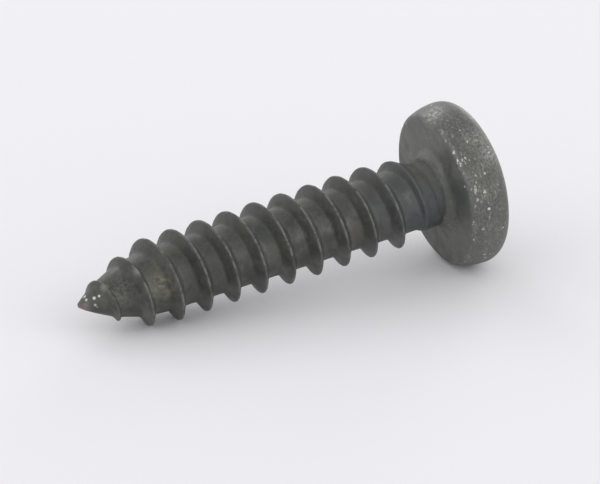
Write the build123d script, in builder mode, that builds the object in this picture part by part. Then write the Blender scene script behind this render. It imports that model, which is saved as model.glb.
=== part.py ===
"""Self-tapping screw with a pan head, a coarse right-hand thread and a gimlet point.

The screw is one solid, lying as it comes to rest: the flare of the head and the first crest that
passes underneath both touch Z = 0, and the point is towards -X. A place on the screw is given by
its distance from the point, along the axis. Lengths are in millimetres, angles in degrees.
"""

import os
from math import asin, atan2, ceil, cos, degrees, hypot, radians, sin, sqrt, tan

from build123d import *

# Thread
THREAD_DIAMETER = 4.04
ROOT_DIAMETER = 2.96
PITCH = 1.41
CREST_WIDTH = 0.08
FLANK_ANGLE = 30.0  # between one flank and a plane across the axis
LENGTH = 18.3  # point to bearing face

# Gimlet point
POINT_LENGTH = 4.2  # over which the core grows to its full diameter
POINT_RINGS = 6  # circles that the ogive is lofted through
TIP_RADIUS = 0.1
CREST_CONE_ANGLE = 27.0  # half-angle of the cone that holds the crests
CREST_CONE_START = 0.34  # radius of that cone at the point
CREST_ARC_RADIUS = 3.6  # arc that carries the cone of the crests into the full thread
CREST_START = 0.42  # point to the place where the crest leaves the core
START_CONE_ANGLE = 60.0  # half-angle of the short cone on which the crest rises at first
START_ANGLE = 89.4  # turn of the thread, counted from the top, as if it ran on to the point

# Run-out of the thread, neck and collar
NECK_DIAMETER = 3.14
NECK_LENGTH = 1.2
NECK_CONE_LENGTH = 0.3  # over which the core grows to the neck
RUNOUT_LENGTH = 1.5  # over which the crest sinks to the neck, faster and faster
RUNOUT_END = 1.1  # from there to the bearing face
SHOULDER_LENGTH = 0.6  # slope behind the last crest
SHOULDER_TURN = 130.0  # over which that slope lengthens
COLLAR_DIAMETER = 3.3
COLLAR_LENGTH = 0.43
COLLAR_FILLET = 0.38

# Pan head
HEAD_DIAMETER = 7.68
HEAD_HEIGHT = 2.84
BEARING_DIAMETER = 7.1
RIM_HEIGHT = 1.25  # bearing face to the widest circle
CORNER_RADIUS = 0.69  # between rim and dome
BEARING_EDGE_RADIUS = 0.25

# Cross recess
RECESS_SPAN = 4.7  # across two wings, level with the top of the dome
RECESS_WIDTH = 1.15
RECESS_DEPTH = 1.85
RECESS_FLOOR_SPAN = 2.3
RECESS_FLOOR_WIDTH = 0.75
RECESS_CORE_DIAMETER = 2.1
RECESS_CORE_FLOOR_DIAMETER = 1.3
RECESS_CONE_DEPTH = 0.3

# How the thread is built
SECTIONS_PER_TURN = 18
ROOTED_DEPTH = 0.12  # how far the ridge reaches into the core
ENDING_DEPTH = 0.03  # how far the crest dips under the surface at each of its ends
RESTING_STEPS = 120  # places on each turn of the crest that are tried against the ground

crest_radius = THREAD_DIAMETER / 2
root_radius = ROOT_DIAMETER / 2
neck_radius = NECK_DIAMETER / 2
head_radius = HEAD_DIAMETER / 2
bearing_radius = BEARING_DIAMETER / 2
thread_end = LENGTH - RUNOUT_END
first_turn = CREST_START / PITCH
crest_turns = thread_end / PITCH - first_turn
runout_start = thread_end - RUNOUT_LENGTH
head_top = LENGTH + HEAD_HEIGHT
rim_place = LENGTH + RIM_HEIGHT


def arc_radius(rise, run):
    """Radius of an arc that leaves a line along it and has risen off it after a run."""
    return (rise**2 + run**2) / (2 * rise)


def core_at(place):
    """Radius of the core: an ogive point, then the full root."""
    rise = root_radius - TIP_RADIUS
    radius = arc_radius(rise, POINT_LENGTH)
    left = max(POINT_LENGTH - place, 0.0)
    return root_radius - radius + sqrt(radius**2 - left**2)


def crest_at(place):
    """Radius of the crest: two cones at the point, an arc to the full thread, then the run-out."""
    start_radius = core_at(CREST_START) - ENDING_DEPTH
    start = start_radius + (place - CREST_START) * tan(radians(START_CONE_ANGLE))
    slope = radians(CREST_CONE_ANGLE)
    corner = (crest_radius - CREST_CONE_START) / tan(slope)
    left = max(corner + CREST_ARC_RADIUS * tan(slope / 2) - place, 0.0)
    curved = min(left, CREST_ARC_RADIUS * sin(slope))
    arc_drop = CREST_ARC_RADIUS - sqrt(CREST_ARC_RADIUS**2 - curved**2)
    pointed = crest_radius - arc_drop - (left - curved) * tan(slope)
    sunk = max(place - runout_start, 0.0) / RUNOUT_LENGTH
    full = crest_radius + (neck_radius - ENDING_DEPTH - crest_radius) * sunk**2
    return min(start, pointed, full)


def lie_down():
    """Tilt of the axis, and height of the point, with head and thread on Z = 0.

    A line that touches the flare of the head is drawn to each place on the underside of the
    crest, and the screw tilts until it meets the first of them.
    """
    flare_radius = arc_radius(head_radius - bearing_radius, RIM_HEIGHT)
    found = []
    for step in range(int(runout_start / PITCH * RESTING_STEPS)):
        turn = first_turn + step / RESTING_STEPS
        front = PITCH * turn - CREST_WIDTH / 2
        depth = -crest_at(PITCH * turn) * cos(radians(START_ANGLE + 360 * turn))
        along = rim_place - front
        across = head_radius - flare_radius - depth
        if depth > 0:
            angle = atan2(across, along) + asin(flare_radius / hypot(along, across))
            found.append((angle, depth * cos(angle) - front * sin(angle)))
    angle, height = min(found)
    return degrees(angle), height


tilt, point_height = lie_down()
axis_x, axis_z = cos(radians(tilt)), sin(radians(tilt))
point = (-(head_top * axis_x + TIP_RADIUS * axis_z) / 2, 0, point_height)
screw_axis = Axis(point, (axis_x, 0, axis_z))
across_screw = Plane(origin=point, x_dir=(-axis_z, 0, axis_x), z_dir=(axis_x, 0, axis_z))


def half_plane(angle):
    """Plane through the axis: its X points away from the axis, at an angle from the top."""
    outward = across_screw.x_dir * cos(radians(angle)) + across_screw.y_dir * sin(radians(angle))
    return Plane(origin=point, x_dir=outward, z_dir=outward.cross(screw_axis.direction))


through_screw = half_plane(0)


def ridge_section(turn):
    """The ridge of the thread, cut by a plane through the axis."""
    place = PITCH * turn
    crest = crest_at(place)
    core = core_at(place)
    foot = min(max(core - ROOTED_DEPTH, core / 2), crest - CREST_WIDTH / 2)
    flank = (crest - foot) * tan(radians(FLANK_ANGLE))
    lengthened = (place - runout_start) / (PITCH * SHOULDER_TURN / 360)
    shoulder = SHOULDER_LENGTH * min(max(lengthened, 0.0), 1.0)
    front, back = place - CREST_WIDTH / 2, place + CREST_WIDTH / 2
    with BuildSketch(half_plane(START_ANGLE + 360 * turn)) as section:
        with BuildLine():
            Polyline(
                (foot, front - flank),
                (crest, front),
                (crest, back),
                (foot, back + flank + shoulder),
                close=True,
            )
        make_face()
    return section.sketch


def thread():
    """The ridge as lofts of one turn at most, each starting on the section that ended the last."""
    lofts = ceil(crest_turns)
    steps = round(crest_turns / lofts * SECTIONS_PER_TURN)
    ridges = []
    for number in range(lofts):
        starts = [(number + step / steps) / lofts for step in range(steps + 1)]
        with BuildPart() as ridge:
            loft([ridge_section(first_turn + crest_turns * start) for start in starts])
        ridges.append(ridge.part)
    return ridges


def core():
    """The core from point to neck, which the ridge wraps: a lofted ogive, then a turned stem."""
    rings = []
    for number in range(POINT_RINGS):
        place = POINT_LENGTH * number / (POINT_RINGS - 1)
        with BuildSketch(across_screw.offset(place)) as ring:
            Circle(core_at(place))
        rings.append(ring.sketch)
    with BuildPart() as shank:
        loft(rings)
        with BuildSketch(through_screw):
            with BuildLine():
                Polyline(
                    (0, POINT_LENGTH),
                    (root_radius, POINT_LENGTH),
                    (root_radius, LENGTH - NECK_LENGTH - NECK_CONE_LENGTH),
                    (neck_radius, LENGTH - NECK_LENGTH),
                    (neck_radius, LENGTH),
                    (0, LENGTH),
                    close=True,
                )
            make_face()
        revolve(axis=screw_axis)
    return shank.part


def pan_head():
    """Collar, bearing face, flared rim and dome as one turned form, with the cross recess."""
    rise = head_top - rim_place
    inner = head_radius - CORNER_RADIUS
    dome_radius = (inner**2 + rise**2 - CORNER_RADIUS**2) / (2 * (rise - CORNER_RADIUS))
    corner_turn = 90 - degrees(asin(inner / (dome_radius - CORNER_RADIUS)))
    collar_radius = COLLAR_DIAMETER / 2
    with BuildPart() as head:
        with BuildSketch(through_screw) as profile:
            with BuildLine():
                stem = Polyline(
                    (0, LENGTH - COLLAR_LENGTH),
                    (collar_radius, LENGTH - COLLAR_LENGTH),
                    (collar_radius, LENGTH),
                    (bearing_radius, LENGTH),
                )
                flare = TangentArc((head_radius, rim_place), stem @ 1, tangent=(0, -1))
                corner = JernArc(flare @ 0, (0, 1), CORNER_RADIUS, corner_turn)
                dome = TangentArc(corner @ 1, (0, head_top), tangent=corner % 1)
                Line(dome @ 1, stem @ 0)
            make_face()
            level = profile.vertices().filter_by_position(Axis.Y, LENGTH, LENGTH)
            fillet(level.sort_by(Axis.X)[0], COLLAR_FILLET)
            level = profile.vertices().filter_by_position(Axis.Y, LENGTH, LENGTH)
            fillet(level.sort_by(Axis.X)[-1], BEARING_EDGE_RADIUS)
        revolve(axis=screw_axis)
        for turn in (0, 90):
            with BuildSketch(across_screw.offset(head_top)):
                Rectangle(RECESS_SPAN, RECESS_WIDTH, rotation=turn)
            with BuildSketch(across_screw.offset(head_top - RECESS_DEPTH)):
                Rectangle(RECESS_FLOOR_SPAN, RECESS_FLOOR_WIDTH, rotation=turn)
            loft(ruled=True, mode=Mode.SUBTRACT)
        with BuildSketch(through_screw):
            with BuildLine():
                Polyline(
                    (0, head_top),
                    (RECESS_CORE_DIAMETER / 2, head_top),
                    (RECESS_CORE_FLOOR_DIAMETER / 2, head_top - RECESS_DEPTH),
                    (0, head_top - RECESS_DEPTH - RECESS_CONE_DEPTH),
                    close=True,
                )
            make_face()
        revolve(axis=screw_axis, mode=Mode.SUBTRACT)
    return head.part


with BuildPart() as self_tapping_screw:
    add([core(), *thread(), pan_head()])

self_tapping_screw.part.label = "self_tapping_screw"
os.makedirs("parts", exist_ok=True)
export_step(self_tapping_screw.part, "parts/self_tapping_screw.step")
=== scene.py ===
"""Dresses the self-tapping screw: its threaded shank, its pan head and their phosphated steel.

Sizes are in millimetres and angles in degrees, apart from the room's lengths, which are in metres.
Each mesh is worked out along the screw's own axis, from the point at 0 to the head, and then laid
down as the screw rests, in the frame's metres.
"""

import logging
from dataclasses import dataclass, field
from enum import Enum

import bpy
import numpy as np
from mathutils import Matrix, Vector


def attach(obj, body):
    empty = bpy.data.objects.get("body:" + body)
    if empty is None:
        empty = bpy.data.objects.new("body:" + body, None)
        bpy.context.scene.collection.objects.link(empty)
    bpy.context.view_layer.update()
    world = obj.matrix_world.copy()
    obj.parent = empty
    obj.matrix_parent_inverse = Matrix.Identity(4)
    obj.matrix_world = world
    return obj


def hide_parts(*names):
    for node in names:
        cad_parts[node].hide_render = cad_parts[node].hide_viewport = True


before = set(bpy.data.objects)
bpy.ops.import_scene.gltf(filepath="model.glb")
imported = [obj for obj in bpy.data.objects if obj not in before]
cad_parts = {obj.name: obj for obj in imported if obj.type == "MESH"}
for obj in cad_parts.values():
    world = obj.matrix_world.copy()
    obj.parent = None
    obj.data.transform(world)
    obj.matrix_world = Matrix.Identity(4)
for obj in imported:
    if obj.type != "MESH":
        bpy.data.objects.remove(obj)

LOG = logging.getLogger("screw")
MILLIMETRE = 0.001  # in the frame's metres
NODE = "self_tapping_screw"
LEAST_SINE = 1e-3  # keeps a division by a sine finite
Colour = tuple[float, float, float]
Place = tuple[float, float, float]
Limits = tuple[float, float]  # the first and the second end of a range
Socket = bpy.types.NodeSocket


# Shapes as arrays


def smooth_step(value: np.ndarray) -> np.ndarray:
    """Rises from 0 to 1 as the value does, level at both ends.

    Args:
        value: any numbers; those outside 0 to 1 are held there.

    Returns:
        Three times the square less twice the cube.
    """
    held = np.clip(value, 0.0, 1.0)
    return held * held * (3.0 - 2.0 * held)


def fade(value: np.ndarray, limits: Limits) -> np.ndarray:
    """A weight that goes smoothly from 0 at the first limit to 1 at the second."""
    start, full = limits
    return smooth_step((value - start) / (full - start))


def band(value: np.ndarray, middle: float, width: float) -> np.ndarray:
    """A weight of e to the minus square of the distance from the middle, in widths."""
    return np.exp(-(((value - middle) / width) ** 2))


def soft_max(first: np.ndarray, second: np.ndarray, radius: float) -> np.ndarray:
    """The larger of two heights, with their crossing rounded off.

    Args:
        first: one height.
        second: the other height.
        radius: how far the rounding reaches, in the heights' own unit.

    Returns:
        Half the sum, plus half the root of the squared difference and the squared radius.
    """
    return 0.5 * (first + second + np.sqrt((first - second) ** 2 + radius**2))


def soft_min(first: np.ndarray, second: np.ndarray, radius: float) -> np.ndarray:
    """The smaller of two heights, rounded off in the same way as soft_max."""
    return -soft_max(-first, -second, radius)


def arc_radius(rise: float, run: float) -> float:
    """Radius of an arc that leaves a line along it and has risen off it after a run."""
    return (rise**2 + run**2) / (2.0 * rise)


def around_axis(radius: np.ndarray, angle: np.ndarray, place: np.ndarray) -> np.ndarray:
    """Points at a radius, an angle in radians and a place along the axis."""
    return np.stack([radius * np.cos(angle), radius * np.sin(angle), place], -1)


@dataclass
class TurnedSurface:
    """A closed skin around the axis: columns of points, one column to each angle.

    Attributes:
        points: columns by rows by three, in the screw's own millimetres.
        marks: named weights, columns by rows, for the finish to read.
        start_pole: the point that closes the skin before the first row.
        end_pole: the point that closes it after the last row.
        shift: rows that the last column runs ahead of the first, for a helical grid.
        folded: for each column, the first and last row that counts; the rest are folded in.
    """

    points: np.ndarray
    marks: dict[str, np.ndarray]
    start_pole: Place
    end_pole: Place
    shift: int = 0
    folded: np.ndarray | None = None

    def corners(self) -> np.ndarray:
        """Numbers the places of the grid.

        Returns:
            Vertex number of each place; a folded row shares the vertex of the edge row.
        """
        columns, rows = self.points.shape[:2]
        numbers = np.arange(columns * rows).reshape(columns, rows)
        if self.folded is None:
            return numbers
        first, last = self.folded
        row = np.clip(np.arange(rows)[None, :], first[:, None], last[:, None])
        return np.take_along_axis(numbers, row, axis=1)

    def faces(self) -> tuple[np.ndarray, np.ndarray]:
        """Quads between neighbouring columns, then triangles at folds and poles.

        Returns:
            Quads as rows of four vertex numbers and triangles as rows of three, turned outwards.
        """
        corners = self.corners()
        columns, rows = corners.shape
        inner = [corners[:-1, :-1], corners[1:, :-1], corners[1:, 1:], corners[:-1, 1:]]
        left, right = corners[-1, : rows - self.shift], corners[0, self.shift :]
        seam = [left[:-1], right[:-1], right[1:], left[1:]]
        quads = np.concatenate([np.stack(part, -1).reshape(-1, 4) for part in (inner, seam)])
        same_first, same_last = quads[:, 0] == quads[:, 3], quads[:, 1] == quads[:, 2]
        start_ring, end_ring = corners[:, 0], corners[:, -1]
        start_pole = np.full(columns, columns * rows)
        triangles = [
            quads[same_first & ~same_last][:, [0, 1, 2]],
            quads[same_last & ~same_first][:, [0, 1, 3]],
            np.stack([start_pole, np.roll(start_ring, -1), start_ring], -1),
            np.stack([start_pole + 1, end_ring, np.roll(end_ring, -1)], -1),
        ]
        return quads[~same_first & ~same_last], np.concatenate(triangles)

    def mesh(self, name: str, laid: np.ndarray) -> bpy.types.Mesh:
        """Puts the skin into a mesh, laid down as the screw rests.

        Args:
            name: the mesh's name.
            laid: four by four matrix from the screw's millimetres to the frame's metres.

        Returns:
            The mesh, smooth, with one float attribute for each mark.
        """
        poles = np.array([self.start_pole, self.end_pole])
        points = np.concatenate([self.points.reshape(-1, 3), poles])
        quads, triangles = self.faces()
        used = np.unique(np.concatenate([quads.ravel(), triangles.ravel()]))
        order = np.zeros(len(points), int)
        order[used] = np.arange(len(used))
        quads, triangles, points = order[quads], order[triangles], points[used]
        points = points @ laid[:3, :3].T + laid[:3, 3]

        mesh = bpy.data.meshes.new(name)
        mesh.vertices.add(len(points))
        mesh.vertices.foreach_set("co", points.astype(np.float32).ravel())
        loops = np.concatenate([quads.ravel(), triangles.ravel()])
        mesh.loops.add(len(loops))
        mesh.loops.foreach_set("vertex_index", loops.astype(np.int32))
        sides = np.concatenate([np.full(len(quads), 4), np.full(len(triangles), 3)])
        starts = np.concatenate([[0], np.cumsum(sides)[:-1]])
        mesh.polygons.add(len(sides))
        mesh.polygons.foreach_set("loop_start", starts.astype(np.int32))
        mesh.polygons.foreach_set("use_smooth", np.ones(len(sides), bool))
        for mark, weights in self.marks.items():
            values = np.concatenate([weights.ravel(), np.zeros(len(poles))])[used]
            mesh.attributes.new(mark, "FLOAT", "POINT")
            mesh.attributes[mark].data.foreach_set("value", values.astype(np.float32))
        mesh.update(calc_edges=True)
        mesh.validate()
        return mesh


@dataclass(frozen=True)
class Resting:
    """How the screw lies, as its solid does: its axis rises from the point to the head."""

    tilt: float = 6.8712
    point: Place = (-10.5001, 0.0, 1.4939)

    def matrix(self) -> np.ndarray:
        """Lays the screw down: its own x goes up, y to the near side and z towards the head.

        Returns:
            Four by four matrix from the screw's millimetres to the frame's metres.
        """
        turn = np.radians(self.tilt)
        laid = np.eye(4)
        laid[:3, 0] = (-np.sin(turn), 0.0, np.cos(turn))
        laid[:3, 1] = (0.0, -1.0, 0.0)
        laid[:3, 2] = (np.cos(turn), 0.0, np.sin(turn))
        laid[:3, :3] *= MILLIMETRE
        laid[:3, 3] = np.array(self.point) * MILLIMETRE
        return laid


# The threaded shank


@dataclass(frozen=True)
class ThreadSizes:
    """Sizes of the shank, its coarse thread, its gimlet point and the thread's run-out."""

    crest_radius: float = 2.02
    root_radius: float = 1.48
    pitch: float = 1.41
    crest_width: float = 0.08
    flank_angle: float = 30.0  # between one flank and a plane across the axis
    length: float = 18.3  # point to bearing face
    point_length: float = 4.2  # over which the core grows to its full radius
    tip_radius: float = 0.1
    crest_cone_angle: float = 27.0  # half-angle of the cone that holds the crests
    crest_cone_start: float = 0.34  # radius of that cone at the point
    crest_arc_radius: float = 3.6  # arc that carries the cone into the full thread
    crest_start: float = 0.42  # point to the place where the crest leaves the core
    start_cone_angle: float = 60.0  # half-angle of the cone on which the crest rises at first
    start_angle: float = 89.4  # turn of the thread, as if it ran on to the point
    neck_radius: float = 1.57
    neck_length: float = 1.2
    neck_cone_length: float = 0.3  # over which the core grows to the neck
    runout_length: float = 1.5  # over which the crest sinks to the neck, faster and faster
    runout_end: float = 1.1  # from there to the bearing face
    runout_carried: float = 1.4  # in shares of its length, how far it keeps on sinking
    shoulder_length: float = 0.6  # slope behind the last crest
    shoulder_turn: float = 130.0  # over which that slope lengthens
    ending_depth: float = 0.03  # how far the crest dips under the surface at each of its ends
    rooted_depth: float = 0.12  # how far the ridge reaches into the core
    root_fillet: float = 0.1
    crest_rounding: float = 0.025
    rolled_unevenness: float = 0.012  # height of the waves left by rolling
    even_length: float = 2.0  # over which those waves grow, from the point
    tip_rise: float = 0.03  # how far the middle of the tip stands out

    def runout_start(self) -> float:
        """Place at which the crest starts to sink."""
        return self.length - self.runout_end - self.runout_length


@dataclass(frozen=True)
class ThreadMarks:
    """Where each weight on the thread is 0 and where it is full, in millimetres.

    Attributes:
        standing: height of the crest over the core, for the painted shade and light on its flanks.
        rubbed_height: height of the crest over the core, for the rubbed line.
        rubbed_width: distance from the crest's middle, in crest widths, for that line.
        runout: distance past the bearing face, for the loss of that line in the run-out.
        runout_loss: how much of the line is lost there.
        underneath: cosine of the turn from straight down, for painted light on the thread's lower
            half.
        fore_foot: ridge height over the core, for painted shade and light on the flank facing the
            point.
        aft_height: height of the surface over the core, for the painted light in the groove behind
            a crest.
        aft_reach: distance behind the crest, for the same.
    """

    standing: Limits = (0.0, 0.25)
    rubbed_height: Limits = (0.0, 0.3)
    rubbed_width: Limits = (1.15, 0.15)
    runout: Limits = (-2.8, -2.0)
    runout_loss: float = 0.8
    underneath: Limits = (0.15, 0.55)
    fore_foot: Limits = (-0.05, 0.03)
    aft_height: Limits = (0.32, 0.12)
    aft_reach: Limits = (0.6, 0.3)


@dataclass(frozen=True)
class Wave:
    """One slow wave that rolling left in the thread, a sine of the angle and the place.

    Attributes:
        around: waves in one turn around the axis.
        along: what a millimetre along the axis adds to the sine's angle, in radians.
        start: the sine's angle at the start, in radians.
        weight: how much it counts among the waves.
    """

    around: float
    along: float
    start: float
    weight: float


@dataclass(frozen=True)
class HelicalGrid:
    """Places on the shank, on rows that follow the helix; each array is columns by rows.

    Attributes:
        angle: turn around the axis, in radians.
        place: distance from the point, held between the two ends of the shank.
        beside: distance along the axis from the row's own crest, positive towards the head.
        free: the place before it was held.
        per_turn: rows in one turn of the thread.
    """

    angle: np.ndarray
    place: np.ndarray
    beside: np.ndarray
    free: np.ndarray
    per_turn: int

    def crest_place(self) -> np.ndarray:
        """Place of the row's own crest."""
        return self.place - self.beside


@dataclass
class Shank:
    """The threaded shank from the point to a place hidden inside the head.

    Attributes:
        sizes: its sizes.
        limits: where its marks lie.
        waves: what makes it uneven.
        columns: columns of points around the axis.
        flank_rows: distances beyond the crest's flat at which the rows of a flank lie.
        spare_turns: turns of rows beyond each end, which are folded in.
        hidden_end: how far the shank runs on inside the head.
        hidden_cone: length of the cone that closes it there.
    """

    sizes: ThreadSizes = field(default_factory=ThreadSizes)
    limits: ThreadMarks = field(default_factory=ThreadMarks)
    waves: tuple[Wave, ...] = (
        Wave(3.0, 2.1, 0.0, 1.0),
        Wave(7.0, -4.3, 1.0, 0.8),
        Wave(13.0, 9.7, 2.0, 0.6),
        Wave(29.0, -17.0, 0.5, 0.4),
    )
    columns: int = 192
    flank_rows: tuple[float, ...] = (
        0.02, 0.05, 0.09, 0.14, 0.19, 0.24, 0.29, 0.33, 0.38, 0.45, 0.54, 0.64,
    )
    spare_turns: int = 2
    hidden_end: float = 0.2
    hidden_cone: float = 0.1

    def core(self, place: np.ndarray) -> np.ndarray:
        """Radius of the core: a circular arc up to the root, then a cone to the wider neck.

        Args:
            place: distances from the point.

        Returns:
            The radius at each place.
        """
        s = self.sizes
        rise = s.root_radius - s.tip_radius
        radius = arc_radius(rise, s.point_length)
        left = np.clip(s.point_length - place, 0.0, s.point_length)
        ogive = s.root_radius - radius + np.sqrt(radius**2 - left**2)
        cone_start = s.length - s.neck_length - s.neck_cone_length
        grown = smooth_step((place - cone_start) / s.neck_cone_length)
        return ogive + (s.neck_radius - s.root_radius) * grown

    def crest(self, place: np.ndarray) -> np.ndarray:
        """Radius of the crest: two cones, an arc to the full thread, then a parabolic run-out.

        Args:
            place: distances from the point.

        Returns:
            The least of the first cone, the cone with its arc, and the run-out.
        """
        s = self.sizes
        begun = float(self.core(np.array(s.crest_start))) - s.ending_depth
        start = begun + (place - s.crest_start) * np.tan(np.radians(s.start_cone_angle))
        slope, arc = np.radians(s.crest_cone_angle), s.crest_arc_radius
        corner = (s.crest_radius - s.crest_cone_start) / np.tan(slope)
        left = np.maximum(corner + arc * np.tan(slope / 2.0) - place, 0.0)
        curved = np.minimum(left, arc * np.sin(slope))
        drop = arc - np.sqrt(arc**2 - curved**2) + (left - curved) * np.tan(slope)
        sunk = np.clip((place - s.runout_start()) / s.runout_length, 0.0, s.runout_carried)
        full = s.crest_radius + (s.neck_radius - s.ending_depth - s.crest_radius) * sunk**2
        return np.minimum(np.minimum(start, s.crest_radius - drop), full)

    def uneven(self, angle: np.ndarray, place: np.ndarray) -> np.ndarray:
        """Adds up the slow waves left by rolling.

        Args:
            angle: angles around the axis, in radians.
            place: distances from the point.

        Returns:
            The weighted mean of the waves, from -1 to 1.
        """
        total = np.zeros_like(place)
        for wave in self.waves:
            turned = wave.around * angle + wave.along * place + wave.start
            total = total + wave.weight * np.sin(turned)
        return total / sum(wave.weight for wave in self.waves)

    def grid(self) -> HelicalGrid:
        """Lays the rows along the helix, each at a fixed distance from the crest.

        The place of a row therefore grows by one pitch in each turn around the axis.

        Returns:
            The grid, with the rows beyond the shank's ends held at them.
        """
        s = self.sizes
        half = s.crest_width / 2.0
        outer = np.array(self.flank_rows) + half
        offsets = np.concatenate([-outer[::-1], [-half, -half / 2, half / 2, half], outer])
        end = s.length + self.hidden_end
        turns = np.arange(-self.spare_turns, int(end / s.pitch) + 1 + self.spare_turns)
        rows = (turns[:, None] * s.pitch + offsets[None, :]).ravel()

        angle = np.linspace(0.0, 2.0 * np.pi, self.columns, endpoint=False)
        lead = s.pitch * (angle - np.radians(s.start_angle)) / (2.0 * np.pi)
        free = rows[None, :] + lead[:, None]
        place = np.clip(free, 0.0, end)
        beside = np.tile(offsets, len(turns)) + (place - free)
        turned = np.broadcast_to(angle[:, None], place.shape)
        return HelicalGrid(turned, place, beside, free, len(offsets))

    def ridge(self, grid: HelicalGrid, crest: np.ndarray) -> np.ndarray:
        """Radius of the ridge, which falls on both sides of the crest's flat.

        It is the crest's radius, less the distance beyond the flat over the tangent of the flank
        angle. Behind the last crest a shoulder makes the flank longer.

        Args:
            grid: the places.
            crest: radius of each row's own crest.

        Returns:
            The radius at each place.
        """
        s = self.sizes
        own = grid.crest_place()
        lengthened = (own - s.runout_start()) / (s.pitch * s.shoulder_turn / 360.0)
        shoulder = s.shoulder_length * np.clip(lengthened, 0.0, 1.0)
        flank = np.tan(np.radians(s.flank_angle))
        behind = (np.maximum(crest - self.core(own), 0.0) + s.rooted_depth) * flank
        slope = np.where(grid.beside > 0.0, flank * (behind + shoulder) / behind, flank)
        past_flat = np.abs(grid.beside) - s.crest_width / 2.0
        beyond = soft_max(past_flat, np.zeros_like(past_flat), s.crest_rounding)
        return crest - (beyond - s.crest_rounding / 2.0) / slope

    def marks(
        self, grid: HelicalGrid, crest: np.ndarray, ridge: np.ndarray, radius: np.ndarray
    ) -> dict[str, np.ndarray]:
        """Weights for the finish, each a product of fades.

        Args:
            grid: the places.
            crest: radius of each row's own crest.
            ridge: radius of the ridge.
            radius: radius of the finished surface.

        Returns:
            The rubbed line along the crest, painted shade on the flank towards the point, painted
            light on that flank in the lower half of the thread, and painted light in the groove
            behind the crest.
        """
        s, limits = self.sizes, self.limits
        own, beside, core = grid.crest_place(), grid.beside, self.core(grid.place)
        half = s.crest_width / 2.0
        height = crest - self.core(own)
        standing = fade(height, limits.standing)
        worn = fade(height, limits.rubbed_height)
        worn = worn * fade(np.abs(beside) / s.crest_width, limits.rubbed_width)
        worn = worn * (1.0 - limits.runout_loss * fade(own - s.length, limits.runout))
        under = fade(-np.cos(grid.angle), limits.underneath)
        # the flank towards the point: painted shade, and painted light on its lower half
        painted_flank_shading = standing * fade(-beside, (0.0, half)) * fade(ridge - core, limits.fore_foot)
        # the groove behind the crest, which takes painted light
        painted_groove_light = standing * fade(beside, (0.0, half)) * fade(radius - core, limits.aft_height)
        return {
            "worn": worn,
            "painted_flank_shading": painted_flank_shading * (1.0 - under),
            "painted_lobe_light": painted_flank_shading * under,
            "painted_groove_light": painted_groove_light * fade(beside, limits.aft_reach),
        }

    def surface(self) -> TurnedSurface:
        """The larger of the core and of the ridge at each angle and place, with a fillet.

        What the fillet adds to the core a millimetre from the ridge is taken off again.

        Returns:
            The skin of the shank.
        """
        s = self.sizes
        grid = self.grid()
        waves = self.uneven(grid.angle, grid.place) * smooth_step(grid.place / s.even_length)
        crest = self.crest(grid.crest_place()) + s.rolled_unevenness * waves
        ridge = self.ridge(grid, crest)
        added = soft_max(np.array(0.0), np.array(-1.0), s.root_fillet)
        radius = soft_max(self.core(grid.place), ridge, s.root_fillet) - added
        end = s.length + self.hidden_end
        first, last = (grid.free < 0.0).sum(1) - 1, (grid.free < end).sum(1)
        return TurnedSurface(
            points=around_axis(radius, grid.angle, grid.place),
            marks=self.marks(grid, crest, ridge, radius),
            start_pole=(0.0, 0.0, -s.tip_rise),
            end_pole=(0.0, 0.0, end + self.hidden_cone),
            shift=grid.per_turn,
            folded=np.stack([first, last]),
        )


# The pan head


@dataclass(frozen=True)
class HeadSizes:
    """Sizes of the pan head, its collar and its cross recess."""

    length: float = 18.3  # point to bearing face
    head_radius: float = 3.84
    head_height: float = 2.84
    bearing_radius: float = 3.55
    bearing_edge_radius: float = 0.25
    rim_height: float = 1.25  # bearing face to the widest circle
    corner_radius: float = 0.79  # between rim and dome
    collar_radius: float = 1.65
    collar_length: float = 0.4
    collar_lip: float = 0.04
    collar_fillet: float = 0.38
    recess_span: float = 4.7  # across two wings, level with the top of the dome
    recess_width: float = 1.15
    recess_depth: float = 1.85
    recess_floor_span: float = 2.3
    recess_floor_width: float = 0.75
    recess_core: float = 2.1  # across the round middle
    recess_core_floor: float = 1.3
    recess_floor_inset: float = 0.04  # from that middle to the cone in the floor
    recess_cone_depth: float = 0.3
    recess_edge: float = 0.05  # softening of the recess's mouth
    recess_rounding: float = 0.06  # of the recess's upright corners


@dataclass(frozen=True)
class HeadMarks:
    """Where each weight on the head is 0 and where it is full, in millimetres.

    Attributes:
        outside: radius past that of the bearing face, for the rim.
        rim: distance from the bearing face, for the rim.
        seam: middle and width of the line that the die left, from the bearing face.
        bearing_edge: middle and width of the rubbed line along the bearing edge.
        sunk: depth under the dome, for the painted shade in the recess.
        sunk_radius: radius, for the painted shade in the recess.
        sunk_place: distance from the bearing face, for the painted shade in the recess.
        dome_reach: the largest radius at which the dome is asked for.
    """

    outside: Limits = (-0.2, -0.05)
    rim: Limits = (0.02, 0.12)
    seam: tuple[float, float] = (0.77, 0.05)
    bearing_edge: tuple[float, float] = (0.06, 0.09)
    sunk: Limits = (0.1, 0.5)
    sunk_radius: Limits = (2.6, 2.4)
    sunk_place: Limits = (0.4, 0.6)
    dome_reach: float = 3.4


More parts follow.
